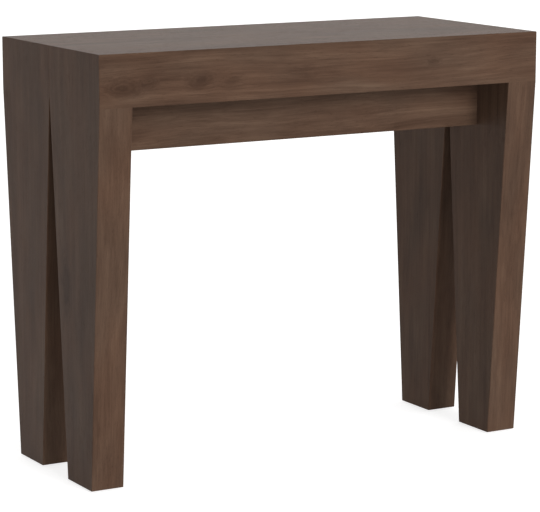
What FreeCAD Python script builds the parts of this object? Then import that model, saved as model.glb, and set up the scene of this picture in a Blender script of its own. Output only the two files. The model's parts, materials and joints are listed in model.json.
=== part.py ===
import FreeCAD, Part
import math
import os

Vector = FreeCAD.Vector

# Extending console table, closed. Millimetres, +Z up, +X along the width, -Y towards the front.
# The origin is on the floor under the middle of the closed table.
# Two half tables meet at the middle of the depth, and each is the other turned half round.
# The rear half is drawn at y > 0. A quarter piece is drawn at its right-hand end, x > 0.

# Whole table, closed
TABLE_WIDTH = 900.0
TABLE_DEPTH = 400.0
TABLE_HEIGHT = 770.0

# Box-edged top
SLAB_THICK = 92.0
TOP_THICK = 22.0
FASCIA_THICK = 22.0
EDGE_BEVEL = 0.8
PARTING_BEVEL = 0.4

# Tapered hollow legs
LEG_WIDTH = 62.0
LEG_OUTER_LEAN = 50.0
LEG_SLOT_LEAN = 53.0
LEG_WALL = 16.0

# Blocks glued into the legs
HEAD_BLOCK_DEPTH = 90.0
FOOT_BLOCK_HEIGHT = 45.0
BLOCK_FIT = 0.15

# Aprons
APRON_RECESS = 100.0
APRON_DROP = 89.0
APRON_THICK = 22.0
APRON_RAIL_GAP = 4.0

# Telescopic rails, each with a channel on one side and a tongue on the other
RAIL_COUNT = 7
RAIL_SIDE_GAP = 48.0
RAIL_END_GAP = 3.0
RAIL_TOP_GAP = 0.3
RAIL_SPACING = 1.0
RAIL_WALL = 3.0
RAIL_CHAMFER = 0.6
CHANNEL_HEIGHT = 30.0
CHANNEL_DEPTH = 9.0
CHANNEL_MOUTH = 16.0
NECK_CLEARANCE = 3.0

# Plastic sliders between a channel and the tongue head that runs in it
# A stage stops when its shoe meets the liner, after the rail's length less two sliders
SLIDER_WALL = 2.0
SLIDER_LENGTH = 44.5
SLIDE_CLEARANCE = 0.3

# Steel angle brackets
RAIL_BRACKET_REACH = 30.0
RAIL_BRACKET_WIDTH = 36.0
APRON_BRACKET_REACH = 40.0
APRON_BRACKET_WIDTH = 50.0
BRACKET_THICK = 3.0
BRACKET_BEND = 2.0

# Screws through the brackets
SCREW_RADIUS = 2.0
SCREW_HEAD_RADIUS = 4.0
SCREW_HEAD_HEIGHT = 2.4
SCREW_LENGTH = 16.0
SCREW_TIP = 3.0
RAIL_SCREW_SHORTFALL = 0.3
HOLE_CLEARANCE = 0.15

# Flanged hexagon bolts from the head blocks into the end panels
BOLT_RADIUS = 4.0
BOLT_FLANGE_RADIUS = 9.0
BOLT_FLANGE_THICK = 1.5
BOLT_HEAD_RADIUS = 7.0
BOLT_HEAD_HEIGHT = 6.0
BOLT_ANCHOR = 14.0
BOLT_CHAMFER = 1.0

# Nail-on floor glides
GLIDE_RADIUS = 12.0
GLIDE_THICK = 2.5
GLIDE_EDGE = 1.0
GLIDE_NAIL_RADIUS = 1.5
GLIDE_NAIL_LENGTH = 14.0

# Dowels between the top boards
DOWEL_RADIUS = 4.0
DOWEL_SEAT = 18.0
DOWEL_REACH = 12.0
DOWEL_CHAMFER = 1.0
SOCKET_CLEARANCE = 0.3
SOCKET_SPARE = 3.0

# Places as shares of the piece that carries them
RAIL_BRACKET_SHARES = (0.30, 0.80)
RAIL_SCREW_SHARES = (-0.28, 0.28)
BRACKET_HOLE_SHARE = 0.58
APRON_SCREW_SHARES = (-0.25, 0.25)
BOLT_SHARES = (0.25, 0.75)
GLIDE_SHARES = (0.20, 0.80)
DOWEL_SHARES = (0.20, 0.80)
SCREW_CROWN_SHARE = 0.6
SCREW_POINT_SHARE = 0.15

# Sides of the faceted round pieces, in fours, so that pins and their holes line up
SCREW_SIDE_COUNT = 8
PIN_SIDE_COUNT = 12
HEXAGON_SIDE_COUNT = 6

# Angles in degrees
QUARTER_TURN = 90
HALF_TURN = 180

# Worked out from the sizes above
half_width = TABLE_WIDTH / 2
half_depth = TABLE_DEPTH / 2
slab_bottom = TABLE_HEIGHT - SLAB_THICK
board_underside = TABLE_HEIGHT - TOP_THICK
end_inner_x = half_width - FASCIA_THICK
fascia_inner_y = half_depth - FASCIA_THICK
leg_inner_x = half_width - LEG_WIDTH
leg_foot_z = GLIDE_THICK
block_inner_x = leg_inner_x + LEG_WALL + BLOCK_FIT
block_outer_x = end_inner_x - BLOCK_FIT
rail_outer_x = leg_inner_x - RAIL_SIDE_GAP
rail_length = 2 * (fascia_inner_y - RAIL_END_GAP)
rail_height = CHANNEL_HEIGHT + 2 * RAIL_WALL
rail_body = CHANNEL_DEPTH + 2 * RAIL_WALL
rail_pitch = rail_body + RAIL_SPACING
rail_middle_z = board_underside - RAIL_TOP_GAP - rail_height / 2
rail_inner_x = rail_outer_x - rail_pitch * (RAIL_COUNT - 1) - rail_body
head_play = SLIDER_WALL + SLIDE_CLEARANCE
tongue_head_height = CHANNEL_HEIGHT - 2 * head_play
tongue_head_thick = CHANNEL_DEPTH - 2 * head_play
tongue_neck = CHANNEL_MOUTH - 2 * NECK_CLEARANCE
neck_length = RAIL_SPACING + RAIL_WALL + head_play
apron_outer_y = half_depth - APRON_RECESS
apron_inner_y = apron_outer_y - APRON_THICK
apron_bottom = slab_bottom - APRON_DROP
apron_top = rail_middle_z - rail_height / 2 - APRON_RAIL_GAP
apron_bracket_z = slab_bottom - APRON_DROP / 2
bolt_z = (slab_bottom + board_underside) / 2
dowel_z = TABLE_HEIGHT - TOP_THICK / 2


# Drawing helpers
def flat_face(points):
    return Part.Face(Part.makePolygon(points + points[:1]))


def solid_from(points, sweep):
    return flat_face(points).extrude(sweep)


def prism_along_x(outline_yz, x_from, x_to):
    return solid_from([Vector(x_from, y, z) for y, z in outline_yz], Vector(x_to - x_from, 0, 0))


def prism_along_y(outline_xz, y_from, y_to):
    return solid_from([Vector(x, y_from, z) for x, z in outline_xz], Vector(0, y_to - y_from, 0))


def prism_along_z(outline_xy, z_from, z_to):
    return solid_from([Vector(x, y, z_from) for x, y in outline_xy], Vector(0, 0, z_to - z_from))


def block(x_from, x_to, y_from, y_to, z_from, z_to):
    return prism_along_z([(x_from, y_from), (x_to, y_from), (x_to, y_to), (x_from, y_to)], z_from, z_to)


def aimed(shape, base, direction):
    placed = shape.copy()
    placed.Placement = FreeCAD.Placement(base, FreeCAD.Rotation(Vector(0, 0, 1), direction))
    return placed


# Faceted round pieces along +Z
def ring(radius, z, sides):
    angles = [2 * math.pi * side / sides for side in range(sides)]
    return [Vector(radius * math.cos(angle), radius * math.sin(angle), z) for angle in angles]


def tapered_bar(low_radius, high_radius, z_from, z_to, sides):
    low = ring(low_radius, z_from, sides)
    high = ring(high_radius, z_to, sides)
    walls = [flat_face([low[side - 1], low[side], high[side], high[side - 1]]) for side in range(sides)]
    return Part.makeSolid(Part.makeShell(walls + [flat_face(low), flat_face(high)]))


def bar(radius, z_from, z_to, sides):
    return solid_from(ring(radius, z_from, sides), Vector(0, 0, z_to - z_from))


def stacked(bars):
    return bars[0].fuse(bars[1:]).removeSplitter()


def hole(radius, depth, base, direction, sides):
    return aimed(bar(radius, 0, depth, sides), base, direction)


def turned(shape):
    copy = shape.copy()
    copy.rotate(Vector(0, 0, 0), Vector(0, 0, 1), HALF_TURN)
    return copy


def mirrored(shape):
    return shape.mirror(Vector(0, 0, 0), Vector(1, 0, 0))


def both_sides(solids):
    return solids + [mirrored(solid) for solid in solids]


def edges_where(shape, test):
    return [edge for edge in shape.Edges if test(edge.CenterOfMass)]


def save(shape, node):
    shape.exportStep("parts/" + node + ".step")


def save_halves(shape, piece):
    save(shape, "rear_" + piece)
    save(turned(shape), "front_" + piece)


def save_quarters(shape, piece):
    twin = mirrored(shape)
    save(shape, "rear_right_" + piece)
    save(twin, "rear_left_" + piece)
    save(turned(twin), "front_right_" + piece)
    save(turned(shape), "front_left_" + piece)


# Fasteners, drawn along +Z with the underside of the head at z = 0
def screw_head():
    crown_radius = SCREW_HEAD_RADIUS * SCREW_CROWN_SHARE
    return tapered_bar(crown_radius, SCREW_HEAD_RADIUS, -SCREW_HEAD_HEIGHT, 0, SCREW_SIDE_COUNT)


def wood_screw():
    shank_end = SCREW_LENGTH - SCREW_TIP
    shank = bar(SCREW_RADIUS, 0, shank_end, SCREW_SIDE_COUNT)
    point_radius = SCREW_RADIUS * SCREW_POINT_SHARE
    tip = tapered_bar(SCREW_RADIUS, point_radius, shank_end, SCREW_LENGTH, SCREW_SIDE_COUNT)
    return stacked([screw_head(), shank, tip])


def machine_screw(length):
    return stacked([screw_head(), bar(SCREW_RADIUS, 0, length, SCREW_SIDE_COUNT)])


def leg_bolt():
    length = end_inner_x - block_inner_x + BOLT_ANCHOR
    shank_end = length - BOLT_CHAMFER
    head = bar(BOLT_HEAD_RADIUS, -BOLT_HEAD_HEIGHT, -BOLT_FLANGE_THICK, HEXAGON_SIDE_COUNT)
    flange = bar(BOLT_FLANGE_RADIUS, -BOLT_FLANGE_THICK, 0, PIN_SIDE_COUNT)
    shank = bar(BOLT_RADIUS, 0, shank_end, PIN_SIDE_COUNT)
    tip = tapered_bar(BOLT_RADIUS, BOLT_RADIUS - BOLT_CHAMFER, shank_end, length, PIN_SIDE_COUNT)
    return stacked([head, flange, shank, tip])


def floor_glide():
    rim = tapered_bar(GLIDE_RADIUS - GLIDE_EDGE, GLIDE_RADIUS, 0, GLIDE_EDGE, PIN_SIDE_COUNT)
    pad = bar(GLIDE_RADIUS, GLIDE_EDGE, GLIDE_THICK, PIN_SIDE_COUNT)
    nail = bar(GLIDE_NAIL_RADIUS, GLIDE_THICK, GLIDE_THICK + GLIDE_NAIL_LENGTH, SCREW_SIDE_COUNT)
    return stacked([rim, pad, nail])


def dowel():
    length = DOWEL_SEAT + DOWEL_REACH
    end_radius = DOWEL_RADIUS - DOWEL_CHAMFER
    tail = tapered_bar(end_radius, DOWEL_RADIUS, 0, DOWEL_CHAMFER, PIN_SIDE_COUNT)
    body = bar(DOWEL_RADIUS, DOWEL_CHAMFER, length - DOWEL_CHAMFER, PIN_SIDE_COUNT)
    nose = tapered_bar(DOWEL_RADIUS, end_radius, length - DOWEL_CHAMFER, length, PIN_SIDE_COUNT)
    return stacked([tail, body, nose])


def screw_hole(depth, base, direction):
    return hole(SCREW_RADIUS + HOLE_CLEARANCE, depth, base, direction, SCREW_SIDE_COUNT)


def bolt_hole(depth, base):
    return hole(BOLT_RADIUS + HOLE_CLEARANCE, depth, base, Vector(1, 0, 0), PIN_SIDE_COUNT)


def bend_edges(shape, corner):
    return edges_where(shape, lambda at: max(abs(at.x - corner), abs(at.z - corner)) < BRACKET_THICK / 2)


# Angle bracket: two equal flanges along +X and +Z from an outer corner at the origin, centred on y = 0
def angle_bracket(reach, width, holes):
    inner = BRACKET_THICK
    outline = [(0, 0), (reach, 0), (reach, inner), (inner, inner), (inner, reach), (0, reach)]
    shape = prism_along_y(outline, -width / 2, width / 2)
    shape = shape.makeChamfer(BRACKET_BEND, bend_edges(shape, inner))
    shape = shape.makeChamfer(BRACKET_BEND + BRACKET_THICK, bend_edges(shape, 0))
    along = reach * BRACKET_HOLE_SHARE
    for place in holes:
        up = screw_hole(reach, Vector(along, place, 0), Vector(0, 0, 1))
        out = screw_hole(reach, Vector(0, place, along), Vector(1, 0, 0))
        shape = shape.cut([up, out])
    return shape


# Box-edged top: mitred boards trimmed by one envelope, bevelled where no leg carries the edge on
def slab_envelope():
    envelope = block(-half_width, half_width, 0, half_depth, slab_bottom, TABLE_HEIGHT)
    low = slab_bottom + EDGE_BEVEL
    parting = edges_where(envelope, lambda at: at.y < EDGE_BEVEL and at.z > low)
    envelope = envelope.makeChamfer(PARTING_BEVEL, parting)
    outer = edges_where(envelope, lambda at: at.y > EDGE_BEVEL and at.z > low)
    return envelope.makeChamfer(EDGE_BEVEL, outer)


def dowel_places():
    return [half_width * share for share in DOWEL_SHARES]


def dowel_holes():
    seat_radius = DOWEL_RADIUS + HOLE_CLEARANCE
    socket_radius = DOWEL_RADIUS + SOCKET_CLEARANCE
    socket_depth = DOWEL_REACH + SOCKET_SPARE
    holes = []
    for x in dowel_places():
        seat = Vector(x, 0, dowel_z)
        socket = Vector(-x, 0, dowel_z)
        holes.append(hole(seat_radius, DOWEL_SEAT, seat, Vector(0, 1, 0), PIN_SIDE_COUNT))
        holes.append(hole(socket_radius, socket_depth, socket, Vector(0, 1, 0), PIN_SIDE_COUNT))
    return holes


def top_board(fixing_holes):
    across = [(-half_width, TABLE_HEIGHT), (half_width, TABLE_HEIGHT)]
    across += [(end_inner_x, board_underside), (-end_inner_x, board_underside)]
    along = [(0, TABLE_HEIGHT), (half_depth, TABLE_HEIGHT)]
    along += [(fascia_inner_y, board_underside), (0, board_underside)]
    board = prism_along_y(across, 0, half_depth).common(prism_along_x(along, -half_width, half_width))
    return board.common(slab_envelope()).cut(dowel_holes() + fixing_holes)


def fascia():
    upright = [(half_depth, slab_bottom), (half_depth, TABLE_HEIGHT)]
    upright += [(fascia_inner_y, board_underside), (fascia_inner_y, slab_bottom)]
    plan = [(-half_width, half_depth), (half_width, half_depth)]
    plan += [(end_inner_x, fascia_inner_y), (-end_inner_x, fascia_inner_y)]
    board = prism_along_x(upright, -half_width, half_width)
    return board.common(prism_along_z(plan, slab_bottom, TABLE_HEIGHT)).common(slab_envelope())


def end_panel():
    upright = [(half_width, slab_bottom), (half_width, TABLE_HEIGHT)]
    upright += [(end_inner_x, board_underside), (end_inner_x, slab_bottom)]
    plan = [(half_width, 0), (half_width, half_depth)]
    plan += [(end_inner_x, fascia_inner_y), (end_inner_x, 0)]
    board = prism_along_y(upright, 0, half_depth)
    board = board.common(prism_along_z(plan, slab_bottom, TABLE_HEIGHT)).common(slab_envelope())
    anchor = BOLT_ANCHOR + HOLE_CLEARANCE
    return board.cut([bolt_hole(anchor, Vector(end_inner_x, y, bolt_z)) for y in bolt_places()])


# Legs: both edges lean in towards the foot
def lean_share(z):
    return (slab_bottom - z) / (slab_bottom - leg_foot_z)


def leg_outer_y(z):
    return half_depth - LEG_OUTER_LEAN * lean_share(z)


def leg_slot_y(z):
    return LEG_SLOT_LEAN * lean_share(z)


def leg_outline():
    top = [(leg_slot_y(slab_bottom), slab_bottom), (leg_outer_y(slab_bottom), slab_bottom)]
    return top + [(leg_outer_y(leg_foot_z), leg_foot_z), (leg_slot_y(leg_foot_z), leg_foot_z)]


def cavity_outline(z_low, z_high, fit):
    low = [(leg_slot_y(z_low) + LEG_WALL + fit, z_low), (leg_outer_y(z_low) - FASCIA_THICK - fit, z_low)]
    high = [(leg_outer_y(z_high) - FASCIA_THICK - fit, z_high), (leg_slot_y(z_high) + LEG_WALL + fit, z_high)]
    return low + high


def bracket_screw_places():
    return [apron_bracket_z + APRON_BRACKET_WIDTH * share for share in APRON_SCREW_SHARES]


def bracket_screw_depth():
    return SCREW_LENGTH - BRACKET_THICK + HOLE_CLEARANCE


def leg_screw_holes():
    y = apron_inner_y - APRON_BRACKET_REACH * BRACKET_HOLE_SHARE
    return [screw_hole(bracket_screw_depth(), Vector(leg_inner_x, y, z), Vector(1, 0, 0))
            for z in bracket_screw_places()]


def leg():
    shape = prism_along_x(leg_outline(), leg_inner_x, half_width)
    low, high = leg_foot_z + EDGE_BEVEL, slab_bottom - EDGE_BEVEL
    shape = shape.makeChamfer(EDGE_BEVEL, edges_where(shape, lambda at: low < at.z < high))
    cavity = cavity_outline(leg_foot_z, slab_bottom, 0)
    shape = shape.cut(prism_along_x(cavity, leg_inner_x + LEG_WALL, end_inner_x))
    return shape.cut(leg_screw_holes())


def bolt_places():
    low = leg_slot_y(slab_bottom) + LEG_WALL
    return [low + (fascia_inner_y - low) * share for share in BOLT_SHARES]


def head_block():
    low = cavity_outline(slab_bottom - HEAD_BLOCK_DEPTH, slab_bottom, BLOCK_FIT)
    crown = [(low[2][0], board_underside), (low[3][0], board_underside)]
    shape = prism_along_x(low[:3] + crown + low[3:], block_inner_x, block_outer_x)
    thick = block_outer_x - block_inner_x
    bores = [bolt_hole(thick, Vector(block_inner_x, y, bolt_z)) for y in bolt_places()]
    return shape.cut(bores)


def glide_places():
    low = leg_slot_y(leg_foot_z) + LEG_WALL
    high = leg_outer_y(leg_foot_z) - FASCIA_THICK
    x = (block_inner_x + block_outer_x) / 2
    return [Vector(x, low + (high - low) * share, 0) for share in GLIDE_SHARES]


def foot_block():
    outline = cavity_outline(leg_foot_z, leg_foot_z + FOOT_BLOCK_HEIGHT, BLOCK_FIT)
    shape = prism_along_x(outline, block_inner_x, block_outer_x)
    depth = GLIDE_THICK + GLIDE_NAIL_LENGTH + HOLE_CLEARANCE
    radius = GLIDE_NAIL_RADIUS + HOLE_CLEARANCE
    return shape.cut([hole(radius, depth, at, Vector(0, 0, 1), SCREW_SIDE_COUNT) for at in glide_places()])


# Apron, with its two brackets in the corners behind it
def apron_screw_x():
    return leg_inner_x - APRON_BRACKET_REACH * BRACKET_HOLE_SHARE


def apron():
    shape = block(-leg_inner_x, leg_inner_x, apron_inner_y, apron_outer_y, apron_bottom, apron_top)
    lower = edges_where(shape, lambda at: at.z < apron_bracket_z and abs(at.x) < leg_inner_x - EDGE_BEVEL)
    shape = shape.makeChamfer(EDGE_BEVEL, lower)
    holes = [screw_hole(bracket_screw_depth(), Vector(apron_screw_x(), apron_inner_y, z), Vector(0, 1, 0))
             for z in bracket_screw_places()]
    return shape.cut(both_sides(holes))


def apron_brackets():
    holes = [APRON_BRACKET_WIDTH * share for share in APRON_SCREW_SHARES]
    bracket = angle_bracket(APRON_BRACKET_REACH, APRON_BRACKET_WIDTH, holes)
    bracket.rotate(Vector(0, 0, 0), Vector(1, 0, 0), QUARTER_TURN)
    bracket.rotate(Vector(0, 0, 0), Vector(0, 1, 0), HALF_TURN)
    bracket.translate(Vector(leg_inner_x, apron_inner_y, apron_bracket_z))
    return Part.makeCompound(both_sides([bracket]))


def apron_screws():
    solids = []
    screw_y = apron_inner_y - APRON_BRACKET_REACH * BRACKET_HOLE_SHARE
    for z in bracket_screw_places():
        into_leg = Vector(leg_inner_x - BRACKET_THICK, screw_y, z)
        into_apron = Vector(apron_screw_x(), apron_inner_y - BRACKET_THICK, z)
        solids.append(aimed(wood_screw(), into_leg, Vector(1, 0, 0)))
        solids.append(aimed(wood_screw(), into_apron, Vector(0, 1, 0)))
    return Part.makeCompound(both_sides(solids))


# Brackets from a rail to a top board: facing is +1 on the outer side of the rails and -1 on the inner side
def rail_bracket_places():
    return [fascia_inner_y * share for share in RAIL_BRACKET_SHARES]


def rail_screw_places():
    return [y + RAIL_BRACKET_WIDTH * share for y in rail_bracket_places() for share in RAIL_SCREW_SHARES]


def rail_brackets(face_x, facing):
    holes = [RAIL_BRACKET_WIDTH * share for share in RAIL_SCREW_SHARES]
    solids = []
    for y in rail_bracket_places():
        bracket = angle_bracket(RAIL_BRACKET_REACH, RAIL_BRACKET_WIDTH, holes)
        bracket = bracket.mirror(Vector(0, 0, 0), Vector(0, 0, 1))
        if facing < 0:
            bracket = mirrored(bracket)
        bracket.translate(Vector(face_x, y, board_underside))
        solids.append(bracket)
    return Part.makeCompound(both_sides(solids))


def board_screw_x(face_x, facing):
    return face_x + facing * RAIL_BRACKET_REACH * BRACKET_HOLE_SHARE


def rail_screw_z():
    return board_underside - RAIL_BRACKET_REACH * BRACKET_HOLE_SHARE


def rail_screws(face_x, facing):
    side_length = BRACKET_THICK + RAIL_WALL - RAIL_SCREW_SHORTFALL
    solids = []
    for y in rail_screw_places():
        up = Vector(board_screw_x(face_x, facing), y, board_underside - BRACKET_THICK)
        side = Vector(face_x + facing * BRACKET_THICK, y, rail_screw_z())
        solids.append(aimed(wood_screw(), up, Vector(0, 0, 1)))
        solids.append(aimed(machine_screw(side_length), side, Vector(-facing, 0, 0)))
    return Part.makeCompound(both_sides(solids))


def board_screw_holes(face_x, facing):
    x = board_screw_x(face_x, facing)
    holes = [screw_hole(bracket_screw_depth(), Vector(x, y, board_underside), Vector(0, 0, 1))
             for y in rail_screw_places()]
    return both_sides(holes)


# Telescopic rails: u runs from the outer face of the first rail towards the middle of the table
def rail_place(index):
    return index * rail_pitch


def section_solid(outline, y_from, y_to):
    points = [(rail_outer_x - u, rail_middle_z + v) for u, v in outline]
    return prism_along_y(points, y_from, y_to)


def tongue_outline(u):
    neck = tongue_neck / 2
    head = tongue_head_height / 2
    inner = u - neck_length
    outer = inner - tongue_head_thick
    upper = [(u, neck), (inner, neck), (inner, head), (outer, head)]
    return upper + [(place, -height) for place, height in reversed(upper)]


def channel_outline(u):
    mouth = CHANNEL_MOUTH / 2
    inside = CHANNEL_HEIGHT / 2
    front = u + rail_body
    lip = front - RAIL_WALL
    lower = [(front, -mouth), (lip, -mouth), (lip, -inside), (u + RAIL_WALL, -inside)]
    return lower + [(place, -height) for place, height in reversed(lower)]


def rail(index):
    u = rail_place(index)
    tall = rail_height / 2
    front = u + rail_body
    is_first = index == 0
    is_last = index == RAIL_COUNT - 1
    channel = [] if is_last else channel_outline(u)
    tongue = [] if is_first else tongue_outline(u)
    outline = [(u, -tall), (front, -tall)] + channel + [(front, tall), (u, tall)] + tongue
    shape = section_solid(outline, -rail_length / 2, rail_length / 2)
    shape = shape.makeChamfer(RAIL_CHAMFER, outer_corners(shape))
    if is_last:
        inside = CHANNEL_HEIGHT / 2
        low, high = u + RAIL_WALL, front - RAIL_WALL
        hollow = [(low, -inside), (high, -inside), (high, inside), (low, inside)]
        shape = shape.cut(section_solid(hollow, -rail_length / 2, rail_length / 2))
    if is_first:
        shape = shape.cut(rail_screw_holes(rail_outer_x, -1, 1))
    if is_last:
        shape = shape.cut(rail_screw_holes(rail_inner_x, 1, -1))
    return shape


def outer_corners(shape):
    reach = rail_height / 2 - RAIL_WALL / 2
    return edges_where(shape, lambda at: abs(at.z - rail_middle_z) > reach and abs(at.y) < RAIL_CHAMFER)


def rail_screw_holes(face_x, direction, half):
    return [screw_hole(RAIL_WALL, Vector(face_x, half * y, rail_screw_z()), Vector(direction, 0, 0))
            for y in rail_screw_places()]


# Sliders: a C-shaped sleeve between a channel and the tongue head that runs in it
def slider_outline(u, outer_gap, inner_gap):
    inside = CHANNEL_HEIGHT / 2 - outer_gap
    head = tongue_head_height / 2 + inner_gap
    neck = tongue_neck / 2 + inner_gap
    back = u + RAIL_WALL + outer_gap
    front = u + RAIL_WALL + CHANNEL_DEPTH - outer_gap
    head_back = u + RAIL_WALL + head_play - inner_gap
    head_front = u + RAIL_WALL + head_play + tongue_head_thick + inner_gap
    lower = [(back, -inside), (front, -inside), (front, -neck), (head_front, -neck)]
    lower += [(head_front, -head), (head_back, -head)]
    return lower + [(place, -height) for place, height in reversed(lower)]


def channel_liner(index):
    outline = slider_outline(rail_place(index), 0, SLIDE_CLEARANCE)
    return section_solid(outline, -rail_length / 2, SLIDER_LENGTH - rail_length / 2)


def tongue_shoe(index):
    outline = slider_outline(rail_place(index - 1), SLIDE_CLEARANCE, 0)
    return section_solid(outline, rail_length / 2 - SLIDER_LENGTH, rail_length / 2)


def stage_sliders(index):
    solids = []
    if index < RAIL_COUNT - 1:
        solids.append(channel_liner(index))
    if index > 0:
        solids.append(tongue_shoe(index))
    return Part.makeCompound(both_sides(solids))


# Groups of small pieces on one half
def leg_bolts():
    bolts = [aimed(leg_bolt(), Vector(block_inner_x, y, bolt_z), Vector(1, 0, 0)) for y in bolt_places()]
    return Part.makeCompound(both_sides(bolts))


def foot_glides():
    glides = [aimed(floor_glide(), at, Vector(0, 0, 1)) for at in glide_places()]
    return Part.makeCompound(both_sides(glides))


def dowels():
    pins = [aimed(dowel(), Vector(x, DOWEL_SEAT, dowel_z), Vector(0, -1, 0)) for x in dowel_places()]
    return Part.makeCompound(pins)


def build():
    os.makedirs("parts", exist_ok=True)
    rear_fixing = (rail_outer_x, 1)
    front_fixing = (rail_inner_x, -1)
    save(top_board(board_screw_holes(*rear_fixing)), "rear_top_board")
    save(turned(top_board(board_screw_holes(*front_fixing))), "front_top_board")
    save(rail_brackets(*rear_fixing), "rear_rail_brackets")
    save(turned(rail_brackets(*front_fixing)), "front_rail_brackets")
    save(rail_screws(*rear_fixing), "rear_rail_screws")
    save(turned(rail_screws(*front_fixing)), "front_rail_screws")
    save_halves(fascia(), "fascia")
    save_halves(apron(), "apron")
    save_halves(apron_brackets(), "apron_brackets")
    save_halves(apron_screws(), "apron_screws")
    save_halves(leg_bolts(), "leg_bolts")
    save_halves(foot_glides(), "foot_glides")
    save_halves(dowels(), "dowels")
    save_quarters(end_panel(), "end_panel")
    save_quarters(leg(), "leg")
    save_quarters(head_block(), "head_block")
    save_quarters(foot_block(), "foot_block")
    for index in range(RAIL_COUNT):
        number = str(index + 1)
        save(rail(index), "right_rail_" + number)
        save(mirrored(rail(index)), "left_rail_" + number)
        save(stage_sliders(index), "rail_sliders_" + number)


build()
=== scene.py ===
import json
import math

import bmesh
import bpy
from mathutils import Euler, Matrix, Vector


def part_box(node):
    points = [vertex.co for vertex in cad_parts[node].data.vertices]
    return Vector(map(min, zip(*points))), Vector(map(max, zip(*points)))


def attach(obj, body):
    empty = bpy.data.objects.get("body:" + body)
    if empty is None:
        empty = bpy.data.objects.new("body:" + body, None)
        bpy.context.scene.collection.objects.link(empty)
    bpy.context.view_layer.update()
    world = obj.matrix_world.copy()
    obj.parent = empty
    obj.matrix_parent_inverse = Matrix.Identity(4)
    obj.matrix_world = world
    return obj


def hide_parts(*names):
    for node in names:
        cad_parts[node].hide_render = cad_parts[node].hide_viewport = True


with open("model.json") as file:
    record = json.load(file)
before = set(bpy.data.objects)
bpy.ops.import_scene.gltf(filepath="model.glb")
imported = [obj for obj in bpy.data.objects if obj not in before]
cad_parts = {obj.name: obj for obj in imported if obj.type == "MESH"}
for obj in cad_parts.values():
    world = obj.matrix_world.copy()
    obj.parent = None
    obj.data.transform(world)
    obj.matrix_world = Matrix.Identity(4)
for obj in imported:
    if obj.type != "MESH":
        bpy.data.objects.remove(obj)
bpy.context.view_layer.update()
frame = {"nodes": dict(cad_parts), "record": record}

# Looks of the extending console table. Metres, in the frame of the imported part.

# Camera at the photograph's angle
CAMERA_PLACE = (-2.249, -3.904, 1.172)
CAMERA_AZIMUTH = math.radians(29.89)
CAMERA_PITCH = math.radians(-10.26)
CAMERA_LENS = 164.0
CAMERA_SENSOR = 36.0

# Studio
FLOOR_HALF_SIZE = 60.0
FLOOR_COLOUR = (0.45, 0.45, 0.45, 1.0)
FLOOR_ROUGHNESS = 1.0
FLOOR_SPECULAR = 0.0
FLOOR_GLOW = 0.78
FLOOR_GLOW_COLOUR = (1.0, 1.0, 1.0, 1.0)
SKY_COLOUR = (1.0, 0.965, 0.935, 1.0)
SKY_STRENGTH = 0.17
GLOSS_STRENGTH = 0.77
BACKDROP_STRENGTH = 1.10

# Lamps, with angles in degrees. The azimuth runs from the front towards the right.
LAMPS = {
    "key": {"azimuth": 5.0, "elevation": 17.0, "spread": 24.0, "strength": 3.30, "glossy": False},
    "sheen": {"azimuth": 149.0, "elevation": 16.0, "spread": 60.0, "strength": 0.46, "glossy": True},
    "overhead": {"azimuth": 90.0, "elevation": 80.0, "spread": 70.0, "strength": 0.80, "glossy": True},
    "right_fill": {"azimuth": 95.0, "elevation": 12.0, "spread": 24.0, "strength": 1.30, "glossy": False},
    "rear_fill": {"azimuth": 168.0, "elevation": 10.0, "spread": 16.0, "strength": 1.50, "glossy": False},
}


# Values that several materials share
OPAQUE = 1.0
METALLIC = 1.0
RAMP_END = 1.0

# Places of a mix node's colour sockets, whose names other sockets have too
MIX_FACTOR = 0
MIX_FIRST = 6
MIX_SECOND = 7
MIX_RESULT = 2


# Node helpers
def add_node(tree, kind, sockets=None, **attributes):
    node = tree.nodes.new(kind)
    for name, value in attributes.items():
        setattr(node, name, value)
    for name, value in (sockets or {}).items():
        if isinstance(value, bpy.types.NodeSocket):
            tree.links.new(value, node.inputs[name])
        else:
            node.inputs[name].default_value = value
    return node


def new_material(name):
    material = bpy.data.materials.new(name)
    material.use_nodes = True
    tree = material.node_tree
    tree.nodes.clear()
    shader = add_node(tree, "ShaderNodeBsdfPrincipled")
    add_node(tree, "ShaderNodeOutputMaterial", {"Surface": shader.outputs["BSDF"]})
    return material, tree, shader


def maths(tree, operation, first, second=0.0):
    node = add_node(tree, "ShaderNodeMath", {0: first, 1: second}, operation=operation)
    return node.outputs["Value"]


def vector_maths(tree, operation, first, second=(0.0, 0.0, 0.0)):
    node = add_node(tree, "ShaderNodeVectorMath", {0: first, 1: second}, operation=operation)
    return node.outputs["Value" if operation == "LENGTH" else "Vector"]


def stretched(tree, vector, scale):
    return add_node(tree, "ShaderNodeMapping", {"Vector": vector, "Scale": scale}).outputs["Vector"]


def ranged(tree, value, low, high, to_low=0.0, to_high=1.0):
    sockets = {"Value": value, "From Min": low, "From Max": high, "To Min": to_low, "To Max": to_high}
    return add_node(tree, "ShaderNodeMapRange", sockets, interpolation_type="SMOOTHSTEP").outputs["Result"]


def ramp(tree, factor, stops):
    node = add_node(tree, "ShaderNodeValToRGB", {"Fac": factor})
    elements = node.color_ramp.elements
    while len(elements) < len(stops):
        elements.new(RAMP_END)
    for element, (place, colour) in zip(elements, stops):
        element.position = place
        element.color = (*colour, OPAQUE)
    return node.outputs["Color"]


def mixed(tree, factor, first, second, blend="MIX"):
    sockets = {MIX_FACTOR: factor, MIX_FIRST: first, MIX_SECOND: second}
    node = add_node(tree, "ShaderNodeMix", sockets, data_type="RGBA", blend_type=blend)
    return node.outputs[MIX_RESULT]


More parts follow.
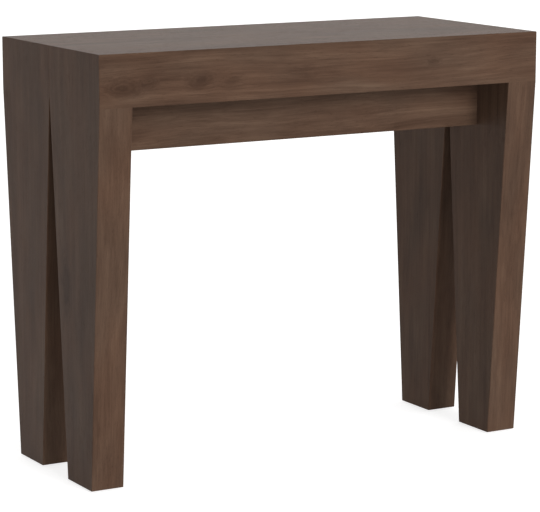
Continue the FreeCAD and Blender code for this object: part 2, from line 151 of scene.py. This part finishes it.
# Colour, roughness and relief of a surface, the relief as heights times a distance
def link_surface(tree, shader, colour, roughness, relief, distance):
    bump = add_node(tree, "ShaderNodeBump", {"Height": relief, "Distance": distance})
    tree.links.new(colour, shader.inputs["Base Color"])
    tree.links.new(roughness, shader.inputs["Roughness"])
    tree.links.new(bump.outputs["Normal"], shader.inputs["Normal"])


# The object's own coordinates, turned so that the first runs along the grain
def grain_coordinates(tree, axis):
    place = add_node(tree, "ShaderNodeTexCoord").outputs["Object"]
    parts = add_node(tree, "ShaderNodeSeparateXYZ", {"Vector": place}).outputs
    order = {"X": "XYZ", "Y": "YZX", "Z": "ZXY"}[axis]
    sockets = {name: parts[source] for name, source in zip("XYZ", order)}
    return add_node(tree, "ShaderNodeCombineXYZ", sockets).outputs["Vector"]


# A noise layer is its waves per metre along and across the grain, and its detail
def layer_noise(tree, vector, layer, output="Fac"):
    along, across, detail = layer
    place = stretched(tree, vector, (along, across, across))
    node = add_node(tree, "ShaderNodeTexNoise", {"Vector": place, "Scale": 1.0, "Detail": detail})
    return node.outputs[output]


# Walnut-look laminate
WALNUT_STOPS = (
    (0.25, (0.026, 0.0133, 0.0083)),
    (0.40, (0.049, 0.0275, 0.0181)),
    (0.55, (0.071, 0.0415, 0.0275)),
    (0.71, (0.099, 0.0611, 0.0409)),
)
WALNUT_TONE_LAYERS = (
    (0.17, (2.4, 9.0, 2.0)),
    (0.27, (8.0, 30.0, 2.0)),
    (0.22, (1.8, 70.0, 3.0)),
    (0.19, (5.0, 230.0, 2.0)),
)
WALNUT_CONTRASTS = {"X": 1.25, "Z": 1.00}
WALNUT_MIDDLE_TONE = 0.5
WALNUT_FIBRES = (9.0, 520.0, 2.0)
WALNUT_FIBRE_SHARE = 0.15
WALNUT_PORES = (55.0, 1700.0, 1.0)
WALNUT_PORE_EDGES = (0.60, 0.72)
WALNUT_PORE_SHARE = 0.55
WALNUT_PORE_TINT = (0.55, 0.52, 0.50, 1.0)
WALNUT_HUES = (6.0, 15.0, 1.0)
WALNUT_HUE_STOPS = (
    (0.35, (1.020, 0.985, 0.960)),
    (0.65, (0.980, 1.015, 1.030)),
)
WALNUT_HUE_SHARE = 1.0
WALNUT_SWAY = (1.6, 5.0, 2.0)
WALNUT_SWAY_REACH = 0.05
WALNUT_GLOSS_EDGES = (0.3, 1.2)
WALNUT_ROUGHNESS = (0.44, 0.60)
WALNUT_SPECULAR = 0.055
WALNUT_RELIEF = 0.00012
WALNUT_FIBRE_RELIEF_SHARE = 0.4

# Knots: soft spots with wavering outlines, at set places or scattered through a board
KNOT_COLOUR = (0.021, 0.0110, 0.0070, 1.0)
KNOT_SHARE = 0.54
KNOT_RING_RATE = 22.0
KNOT_RING_SHARE = 0.14
KNOT_EDGES = (1.5, 0.0)
KNOT_WAVER = (30.0, 45.0, 2.0)
KNOT_WAVER_REACH = 0.020
KNOT_BULGE = 0.012
KNOT_CELLS = (1.7, 5.2)
KNOT_CELL_EDGES = (0.17, 0.03)
KNOT_CHANCE_EDGES = (0.5, 0.6)

# Knots in the front fascia: shares of its width and height, half lengths along and across the grain, and
# the share of a full knot's depth
FASCIA_KNOTS = (
    {"place_shares": (0.049, 0.37), "half_lengths": (0.036, 0.018), "depth_share": 1.0},
    {"place_shares": (0.101, 0.43), "half_lengths": (0.018, 0.010), "depth_share": 1.0},
    {"place_shares": (0.215, 0.42), "half_lengths": (0.027, 0.016), "depth_share": 0.7},
    {"place_shares": (0.284, 0.38), "half_lengths": (0.026, 0.013), "depth_share": 0.4},
    {"place_shares": (0.444, 0.44), "half_lengths": (0.030, 0.010), "depth_share": 0.3},
    {"place_shares": (0.748, 0.50), "half_lengths": (0.016, 0.008), "depth_share": 0.6},
)

NOISE_MEAN = (0.5, 0.5, 0.5)


def fascia_knots():
    low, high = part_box("front_fascia")
    size = high - low
    knots = []
    for knot in FASCIA_KNOTS:
        along, up = knot["place_shares"]
        centre = (low.x + size.x * along, low.y, low.z + size.z * up)
        knots.append((centre, knot["half_lengths"], knot["depth_share"]))
    return knots


# A vector pushed to and fro by noise, up to a reach for each coordinate
def wavering(tree, vector, layer, reach):
    push = vector_maths(tree, "SUBTRACT", layer_noise(tree, vector, layer, "Color"), NOISE_MEAN)
    return vector_maths(tree, "ADD", vector, vector_maths(tree, "MULTIPLY", push, reach))


def placed_knots(tree, knots):
    place = add_node(tree, "ShaderNodeTexCoord").outputs["Object"]
    place = wavering(tree, place, KNOT_WAVER, [KNOT_WAVER_REACH] * 3)
    total = None
    for centre, (along, across), depth in knots:
        offset = vector_maths(tree, "SUBTRACT", place, centre)
        scaled = stretched(tree, offset, (1 / along, 1 / across, 1 / across))
        spot = ranged(tree, vector_maths(tree, "LENGTH", scaled), *KNOT_EDGES, to_high=depth)
        total = spot if total is None else maths(tree, "MAXIMUM", total, spot)
    return total


def scattered_knots(tree, board):
    along, across = KNOT_CELLS
    board = wavering(tree, board, KNOT_WAVER, [KNOT_WAVER_REACH] * 3)
    sockets = {"Vector": stretched(tree, board, (along, across, across)), "Scale": 1.0}
    cells = add_node(tree, "ShaderNodeTexVoronoi", sockets)
    chance = add_node(tree, "ShaderNodeSeparateColor", {"Color": cells.outputs["Color"]}).outputs["Red"]
    spots = ranged(tree, cells.outputs["Distance"], *KNOT_CELL_EDGES)
    return maths(tree, "MULTIPLY", spots, ranged(tree, chance, *KNOT_CHANCE_EDGES))


# The grain sways along the board and bulges round the knots
def walnut_flow(tree, board, spots):
    flow = wavering(tree, board, WALNUT_SWAY, (0.0, WALNUT_SWAY_REACH, WALNUT_SWAY_REACH))
    bulge = add_node(tree, "ShaderNodeCombineXYZ", {"Y": spots, "Z": spots}).outputs["Vector"]
    return vector_maths(tree, "ADD", flow, vector_maths(tree, "MULTIPLY", bulge, [KNOT_BULGE] * 3))


def walnut(name, axis, knots=None):
    material, tree, shader = new_material(name)
    board = grain_coordinates(tree, axis)
    spots = placed_knots(tree, knots) if knots else scattered_knots(tree, board)
    flow = walnut_flow(tree, board, spots)
    fibres = layer_noise(tree, flow, WALNUT_FIBRES)
    pores = ranged(tree, layer_noise(tree, flow, WALNUT_PORES), *WALNUT_PORE_EDGES)

    tone = maths(tree, "MULTIPLY", fibres, WALNUT_FIBRE_SHARE)
    for share, layer in WALNUT_TONE_LAYERS:
        tone = maths(tree, "ADD", tone, maths(tree, "MULTIPLY", layer_noise(tree, flow, layer), share))
    contrast = WALNUT_CONTRASTS[axis]
    tone = maths(tree, "ADD", maths(tree, "MULTIPLY", tone, contrast), WALNUT_MIDDLE_TONE * (1 - contrast))
    colour = ramp(tree, tone, WALNUT_STOPS)
    hues = ramp(tree, layer_noise(tree, flow, WALNUT_HUES), WALNUT_HUE_STOPS)
    colour = mixed(tree, WALNUT_HUE_SHARE, colour, hues, "MULTIPLY")
    pore_depth = maths(tree, "MULTIPLY", pores, WALNUT_PORE_SHARE)
    colour = mixed(tree, pore_depth, colour, WALNUT_PORE_TINT, "MULTIPLY")
    rings = maths(tree, "SINE", maths(tree, "MULTIPLY", spots, KNOT_RING_RATE))
    knot_depth = maths(tree, "ADD", maths(tree, "MULTIPLY", rings, KNOT_RING_SHARE), KNOT_SHARE)
    colour = mixed(tree, maths(tree, "MULTIPLY", spots, knot_depth), colour, KNOT_COLOUR)

    roughness = ranged(tree, maths(tree, "ADD", fibres, pores), *WALNUT_GLOSS_EDGES, *WALNUT_ROUGHNESS)
    relief = maths(tree, "SUBTRACT", maths(tree, "MULTIPLY", fibres, WALNUT_FIBRE_RELIEF_SHARE), pores)
    link_surface(tree, shader, colour, roughness, relief, WALNUT_RELIEF)
    shader.inputs["Specular IOR Level"].default_value = WALNUT_SPECULAR
    return material


# Beech of the blocks and dowels
BEECH_STOPS = (
    (0.30, (0.36, 0.215, 0.118)),
    (0.55, (0.50, 0.330, 0.195)),
    (0.80, (0.58, 0.405, 0.255)),
)
BEECH_GROWTH = (3.0, 130.0, 3.0)
BEECH_FLECKS = (140.0, 1100.0, 1.0)
BEECH_FLECK_EDGES = (0.60, 0.72)
BEECH_FLECK_SHARE = 0.6
BEECH_FLECK_TINT = (0.52, 0.40, 0.30, 1.0)
BEECH_GLOSS_EDGES = (0.2, 0.8)
BEECH_ROUGHNESS = (0.55, 0.72)
BEECH_SPECULAR = 0.3
BEECH_RELIEF = 0.0001


def beech(name, axis):
    material, tree, shader = new_material(name)
    board = grain_coordinates(tree, axis)
    growth = layer_noise(tree, board, BEECH_GROWTH)
    flecks = ranged(tree, layer_noise(tree, board, BEECH_FLECKS), *BEECH_FLECK_EDGES)
    fleck_depth = maths(tree, "MULTIPLY", flecks, BEECH_FLECK_SHARE)
    colour = mixed(tree, fleck_depth, ramp(tree, growth, BEECH_STOPS), BEECH_FLECK_TINT, "MULTIPLY")
    roughness = ranged(tree, growth, *BEECH_GLOSS_EDGES, *BEECH_ROUGHNESS)
    link_surface(tree, shader, colour, roughness, maths(tree, "SUBTRACT", growth, flecks), BEECH_RELIEF)
    shader.inputs["Specular IOR Level"].default_value = BEECH_SPECULAR
    return material


# Extruded, anodised aluminium: die lines run along the rails
RAIL_STOPS = (
    (0.25, (0.33, 0.337, 0.348)),
    (0.75, (0.47, 0.474, 0.478)),
)
RAIL_LINES = (1.5, 900.0, 4.0)
RAIL_HAZE = (14.0, 40.0, 2.0)
RAIL_GLOSS_EDGES = (0.7, 1.3)
RAIL_ROUGHNESS = (0.32, 0.50)
RAIL_RELIEF = 0.00006


def rail_aluminium(name):
    material, tree, shader = new_material(name)
    rail = grain_coordinates(tree, "Y")
    lines = layer_noise(tree, rail, RAIL_LINES)
    dulling = maths(tree, "ADD", lines, layer_noise(tree, rail, RAIL_HAZE))
    roughness = ranged(tree, dulling, *RAIL_GLOSS_EDGES, *RAIL_ROUGHNESS)
    link_surface(tree, shader, ramp(tree, lines, RAIL_STOPS), roughness, lines, RAIL_RELIEF)
    shader.inputs["Metallic"].default_value = METALLIC
    return material


# Zinc-plated pressed steel: soft crystal patches and a faint passivation tint
ZINC_STOPS = (
    (0.30, (0.36, 0.375, 0.400)),
    (0.70, (0.46, 0.450, 0.410)),
)
ZINC_CRYSTALS_PER_METRE = 420.0
ZINC_FILM = (60.0, 60.0, 2.0)
ZINC_GRAIN = (900.0, 900.0, 2.0)
ZINC_PATCH_EDGES = (0.0, 1.0)
ZINC_ROUGHNESS = (0.52, 0.66)
ZINC_RELIEF = 0.00004


def zinc_steel(name):
    material, tree, shader = new_material(name)
    place = add_node(tree, "ShaderNodeTexCoord").outputs["Object"]
    crystals = add_node(tree, "ShaderNodeTexVoronoi", {"Vector": place, "Scale": ZINC_CRYSTALS_PER_METRE})
    patch = add_node(tree, "ShaderNodeSeparateColor", {"Color": crystals.outputs["Color"]}).outputs["Red"]
    colour = ramp(tree, layer_noise(tree, place, ZINC_FILM), ZINC_STOPS)
    roughness = ranged(tree, patch, *ZINC_PATCH_EDGES, *ZINC_ROUGHNESS)
    link_surface(tree, shader, colour, roughness, layer_noise(tree, place, ZINC_GRAIN), ZINC_RELIEF)
    shader.inputs["Metallic"].default_value = METALLIC
    return material


# Moulded plastics, with fine grain and faint flow marks: a dark and a light tone, and the least roughness
PLASTICS = {
    "slider_plastic": ((0.022, 0.022, 0.024), (0.034, 0.034, 0.036), 0.40),
    "glide_plastic": ((0.075, 0.052, 0.036), (0.100, 0.072, 0.050), 0.50),
}
PLASTIC_FLOW = (20.0, 45.0, 2.0)
PLASTIC_FLOW_EDGES = (0.3, 0.7)
PLASTIC_GRAIN = (1600.0, 1600.0, 1.0)
PLASTIC_GRAIN_EDGES = (0.3, 0.7)
PLASTIC_ROUGHNESS_SPAN = 0.12
PLASTIC_SPECULAR = 0.4
PLASTIC_RELIEF = 0.00005


def moulded_plastic(name):
    dark, light, least_roughness = PLASTICS[name]
    material, tree, shader = new_material(name)
    place = grain_coordinates(tree, "Y")
    flow = layer_noise(tree, place, PLASTIC_FLOW)
    grain = layer_noise(tree, place, PLASTIC_GRAIN)
    colour = ramp(tree, flow, list(zip(PLASTIC_FLOW_EDGES, (dark, light))))
    most_roughness = least_roughness + PLASTIC_ROUGHNESS_SPAN
    roughness = ranged(tree, grain, *PLASTIC_GRAIN_EDGES, least_roughness, most_roughness)
    link_surface(tree, shader, colour, roughness, grain, PLASTIC_RELIEF)
    shader.inputs["Specular IOR Level"].default_value = PLASTIC_SPECULAR
    return material


def make_materials():
    return {
        "walnut_along": walnut("walnut_along", "X"),
        "walnut_upright": walnut("walnut_upright", "Z"),
        "walnut_fascia": walnut("walnut_fascia", "X", fascia_knots()),
        "beech_upright": beech("beech_upright", "Z"),
        "beech_pin": beech("beech_pin", "Y"),
        "rail_aluminium": rail_aluminium("rail_aluminium"),
        "zinc_steel": zinc_steel("zinc_steel"),
        "slider_plastic": moulded_plastic("slider_plastic"),
        "glide_plastic": moulded_plastic("glide_plastic"),
    }


# Material slot of each node
SLOTS = {subpart["node"]: subpart["material_slot"] for subpart in frame["record"]["subparts"]}


def material_name(node):
    slot = SLOTS[node]
    if node == "front_fascia":
        return "walnut_fascia"
    if slot == "walnut_laminate":
        return "walnut_upright" if node.endswith(("leg", "end_panel")) else "walnut_along"
    if slot == "beech":
        return "beech_pin" if node.endswith("dowels") else "beech_upright"
    return slot


def dress_nodes(materials):
    for node in SLOTS:
        mesh = frame["nodes"][node].data
        mesh.materials.clear()
        mesh.materials.append(materials[material_name(node)])


# Turned pieces, finer than their faceted solids: heights run from the underside of the head to the tip
TURNED_SIDES = 24
MERGE_DISTANCE = 0.00001
SHARP_ANGLE = math.radians(38.0)
HEAD_RADIUS = 0.0040
HEAD_HEIGHT = 0.0024
HEAD_CROWN_ANGLE = math.radians(55.0)
HEAD_STEPS = 5
RECESS_REACH = 0.0019
RECESS_FLOOR_REACH = 0.0015
RECESS_DEPTH = 0.0016
RECESS_ARM_ANGLE = math.radians(15.0)
SCREW_RADIUS = 0.0020
WOOD_CORE_RADIUS = 0.0013
WOOD_PITCH = 0.0018
WOOD_TIP = 0.0030
MACHINE_CORE_RADIUS = 0.0017
MACHINE_PITCH = 0.0008
MACHINE_REACH_MOST = 0.0100
POINT_SHARE = 0.15
THREAD_STEPS = 5
BOLT_RADIUS = 0.0040
BOLT_CORE_RADIUS = 0.0035
BOLT_PITCH = 0.0020
BOLT_THREAD = 0.0140
BOLT_HEAD_HEIGHT = 0.0060
BOLT_HEAD_RADIUS = 0.0070
BOLT_CROWN_RADIUS = 0.0055
BOLT_CROWN_DROP = 0.0008
BOLT_FLANGE_RADIUS = 0.0090
BOLT_FLANGE_EDGE = 0.0007
BOLT_FLANGE_THICK = 0.0015
DOWEL_RADIUS = 0.0040
DOWEL_FLUTES = 12
DOWEL_FLUTE_DEPTH = 0.0003
DOWEL_END_RADIUS = 0.0030
DOWEL_CHAMFER = 0.0010
GLIDE_RADIUS = 0.0120
GLIDE_THICK = 0.0025
GLIDE_EDGE = 0.0012
GLIDE_STEPS = 4
GLIDE_NAIL_RADIUS = 0.0015
GLIDE_NAIL_POINT = 0.0030


# Sections of a turned piece: the radius at an angle round it
def circle(radius):
    return lambda angle: radius


def hexagon(corner_radius):
    flat = corner_radius * math.cos(math.pi / 6)
    return lambda angle: flat / math.cos(angle % (math.pi / 3) - math.pi / 6)


def cross(reach):
    def radius_at(angle):
        from_arm = abs((angle + math.pi / 4) % (math.pi / 2) - math.pi / 4)
        if from_arm <= RECESS_ARM_ANGLE:
            return reach / math.cos(from_arm)
        return reach * math.tan(RECESS_ARM_ANGLE) / math.sin(from_arm)
    return radius_at


def fluted(radius):
    return lambda angle: radius - DOWEL_FLUTE_DEPTH * (1 - math.cos(DOWEL_FLUTES * angle)) / 2


def threaded(core, crest, turns, taper):
    return lambda angle: taper * (core + (crest - core) * (1 + math.cos(2 * math.pi * turns - angle)) / 2)


# Stations of a turned piece: a height and the section there
def thread_stations(start, end, core, crest, pitch, tip=0.0):
    count = math.ceil(THREAD_STEPS * (end - start) / pitch)
    stations = []
    for step in range(count + 1):
        height = start + (end - start) * step / count
        taper = min(1.0, max(POINT_SHARE, (end - height) / tip)) if tip else 1.0
        stations.append((height, threaded(core, crest, height / pitch, taper)))
    return stations


def pan_head_stations():
    stations = [(RECESS_DEPTH - HEAD_HEIGHT, cross(RECESS_FLOOR_REACH)), (-HEAD_HEIGHT, cross(RECESS_REACH))]
    for step in range(HEAD_STEPS + 1):
        angle = HEAD_CROWN_ANGLE * (1 - step / HEAD_STEPS)
        height = -HEAD_HEIGHT * math.sin(angle) / math.sin(HEAD_CROWN_ANGLE)
        stations.append((height, circle(HEAD_RADIUS * math.cos(angle))))
    return stations


def screw_stations(reach):
    if reach > MACHINE_REACH_MOST:
        thread = thread_stations(0.0, reach, WOOD_CORE_RADIUS, SCREW_RADIUS, WOOD_PITCH, WOOD_TIP)
    else:
        thread = thread_stations(0.0, reach, MACHINE_CORE_RADIUS, SCREW_RADIUS, MACHINE_PITCH)
    return pan_head_stations() + thread


def bolt_stations(reach):
    head = [
        (-BOLT_HEAD_HEIGHT, circle(BOLT_CROWN_RADIUS)),
        (BOLT_CROWN_DROP - BOLT_HEAD_HEIGHT, hexagon(BOLT_HEAD_RADIUS)),
        (-BOLT_FLANGE_THICK, hexagon(BOLT_HEAD_RADIUS)),
        (-BOLT_FLANGE_EDGE, circle(BOLT_FLANGE_RADIUS)),
        (0.0, circle(BOLT_FLANGE_RADIUS)),
        (0.0, circle(BOLT_RADIUS)),
    ]
    thread = thread_stations(reach - BOLT_THREAD, reach, BOLT_CORE_RADIUS, BOLT_RADIUS, BOLT_PITCH)
    return head + thread


def dowel_stations(reach):
    return [
        (0.0, circle(DOWEL_END_RADIUS)),
        (DOWEL_CHAMFER, fluted(DOWEL_RADIUS)),
        (reach - DOWEL_CHAMFER, fluted(DOWEL_RADIUS)),
        (reach, circle(DOWEL_END_RADIUS)),
    ]


def glide_stations(reach):
    stations = []
    for step in range(GLIDE_STEPS + 1):
        angle = math.pi / 2 * (1 - step / GLIDE_STEPS)
        radius = GLIDE_RADIUS - GLIDE_EDGE * (1 - math.cos(angle))
        stations.append((GLIDE_EDGE * (1 - math.sin(angle)), circle(radius)))
    stations.append((GLIDE_THICK, circle(GLIDE_RADIUS)))
    stations.append((GLIDE_THICK, circle(GLIDE_NAIL_RADIUS)))
    stations.append((reach - GLIDE_NAIL_POINT, circle(GLIDE_NAIL_RADIUS)))
    stations.append((reach, circle(GLIDE_NAIL_RADIUS * POINT_SHARE)))
    return stations


# Kinds of turned piece by the end of the node's name: stations and height of the head
TURNED_KINDS = {
    "screws": (screw_stations, HEAD_HEIGHT),
    "leg_bolts": (bolt_stations, BOLT_HEAD_HEIGHT),
    "dowels": (dowel_stations, 0.0),
    "foot_glides": (glide_stations, 0.0),
}


def turned_mesh(stations):
    sides = TURNED_SIDES
    mesh = bmesh.new()
    rings = []
    for height, radius_at in stations:
        ring = []
        for side in range(sides):
            angle = 2 * math.pi * side / sides
            radius = radius_at(angle)
            ring.append(mesh.verts.new((radius * math.cos(angle), radius * math.sin(angle), height)))
        rings.append(ring)
    for low, high in zip(rings, rings[1:]):
        for side in range(sides):
            mesh.faces.new((low[side - 1], low[side], high[side], high[side - 1]))
    first = mesh.verts.new((0, 0, stations[0][0]))
    last = mesh.verts.new((0, 0, stations[-1][0]))
    for side in range(sides):
        mesh.faces.new((first, rings[0][side], rings[0][side - 1]))
        mesh.faces.new((last, rings[-1][side - 1], rings[-1][side]))
    return mesh


# The separate solids of a node, each as its list of points
def solids_of(node):
    mesh = bmesh.new()
    mesh.from_mesh(frame["nodes"][node].data)
    bmesh.ops.remove_doubles(mesh, verts=mesh.verts, dist=MERGE_DISTANCE)
    seen = set()
    solids = []
    for start in mesh.verts:
        if start in seen:
            continue
        seen.add(start)
        solid = [start]
        for vertex in solid:
            for edge in vertex.link_edges:
                other = edge.other_vert(vertex)
                if other not in seen:
                    seen.add(other)
                    solid.append(other)
        solids.append([vertex.co.copy() for vertex in solid])
    mesh.free()
    return solids


# Axis of a turned solid: the one whose extent differs from the other two, from the wider half to the other
def head_to_tip(points):
    low = Vector([min(point[axis] for point in points) for axis in range(3)])
    high = Vector([max(point[axis] for point in points) for axis in range(3)])
    small, middle, large = sorted(range(3), key=lambda axis: high[axis] - low[axis])
    extents = high - low
    along = large if extents[large] - extents[middle] > extents[middle] - extents[small] else small
    centre = (low + high) / 2

    def width_of_half(sign):
        half = [point for point in points if (point[along] - centre[along]) * sign > 0]
        return max((point - centre).length_squared - (point[along] - centre[along]) ** 2 for point in half)

    head, tip = centre.copy(), centre.copy()
    low_is_head = width_of_half(-1) >= width_of_half(1)
    head[along], tip[along] = (low[along], high[along]) if low_is_head else (high[along], low[along])
    return head, tip


def turned_piece(node, body, material, stations_for, head_height):
    joined = bmesh.new()
    for points in solids_of(node):
        head, tip = head_to_tip(points)
        direction = (tip - head).normalized()
        turn = Vector((0, 0, 1)).rotation_difference(direction).to_matrix().to_4x4()
        base = head + direction * head_height
        single = turned_mesh(stations_for((tip - base).length))
        single.transform(Matrix.Translation(base) @ turn)
        part = bpy.data.meshes.new("part")
        single.to_mesh(part)
        single.free()
        joined.from_mesh(part)
        bpy.data.meshes.remove(part)
    mesh = bpy.data.meshes.new(node + "_fine")
    joined.to_mesh(mesh)
    joined.free()
    mesh.materials.append(material)
    mesh.shade_smooth()
    mesh.set_sharp_from_angle(angle=SHARP_ANGLE)
    piece = bpy.data.objects.new(node + "_fine", mesh)
    bpy.context.scene.collection.objects.link(piece)
    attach(piece, body)
    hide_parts(node)


def make_turned_pieces(materials):
    for body, nodes in frame["record"]["behaviour"]["bodies"].items():
        for node in nodes:
            for ending, (stations_for, head_height) in TURNED_KINDS.items():
                if node.endswith(ending):
                    turned_piece(node, body, materials[material_name(node)], stations_for, head_height)


# Floor, light and camera
def make_floor():
    mesh = bpy.data.meshes.new("floor")
    half = FLOOR_HALF_SIZE
    corners = [(-half, -half, 0), (half, -half, 0), (half, half, 0), (-half, half, 0)]
    mesh.from_pydata(corners, [], [(0, 1, 2, 3)])
    floor = bpy.data.objects.new("floor", mesh)
    bpy.context.scene.collection.objects.link(floor)
    material, tree, shader = new_material("pale_floor")
    shader.inputs["Base Color"].default_value = FLOOR_COLOUR
    shader.inputs["Roughness"].default_value = FLOOR_ROUGHNESS
    shader.inputs["Specular IOR Level"].default_value = FLOOR_SPECULAR
    shader.inputs["Emission Color"].default_value = FLOOR_GLOW_COLOUR
    shader.inputs["Emission Strength"].default_value = FLOOR_GLOW
    mesh.materials.append(material)


def make_sky():
    world = bpy.data.worlds.new("studio")
    world.use_nodes = True
    tree = world.node_tree
    tree.nodes.clear()
    rays = add_node(tree, "ShaderNodeLightPath").outputs
    light = add_node(tree, "ShaderNodeBackground", {"Color": SKY_COLOUR, "Strength": SKY_STRENGTH})
    for ray, strength in (("Is Glossy Ray", GLOSS_STRENGTH), ("Is Camera Ray", BACKDROP_STRENGTH)):
        plain = add_node(tree, "ShaderNodeBackground", {"Color": SKY_COLOUR, "Strength": strength})
        sockets = {0: rays[ray], 1: light.outputs[0], 2: plain.outputs[0]}
        light = add_node(tree, "ShaderNodeMixShader", sockets)
    add_node(tree, "ShaderNodeOutputWorld", {"Surface": light.outputs[0]})
    bpy.context.scene.world = world


def make_lamp(name, azimuth, elevation, spread, strength, glossy):
    light = bpy.data.lights.new(name, "SUN")
    light.energy = strength
    light.angle = math.radians(spread)
    lamp = bpy.data.objects.new(name, light)
    lamp.visible_glossy = glossy
    up, round_front = math.radians(elevation), math.radians(azimuth)
    level = math.cos(up)
    towards = Vector((math.sin(round_front) * level, -math.cos(round_front) * level, math.sin(up)))
    lamp.rotation_euler = towards.to_track_quat("Z", "Y").to_euler()
    bpy.context.scene.collection.objects.link(lamp)


def make_camera():
    camera = bpy.data.cameras.new("camera")
    camera.lens = CAMERA_LENS
    camera.sensor_width = CAMERA_SENSOR
    viewer = bpy.data.objects.new("camera", camera)
    viewer.location = CAMERA_PLACE
    viewer.rotation_euler = Euler((math.pi / 2 + CAMERA_PITCH, 0.0, -CAMERA_AZIMUTH))
    bpy.context.scene.collection.objects.link(viewer)
    bpy.context.scene.camera = viewer


finishes = make_materials()
dress_nodes(finishes)
make_turned_pieces(finishes)
make_floor()
make_sky()
for lamp_name, lamp_values in LAMPS.items():
    make_lamp(lamp_name, **lamp_values)
make_camera()
bpy.context.scene.view_settings.view_transform = "Standard"
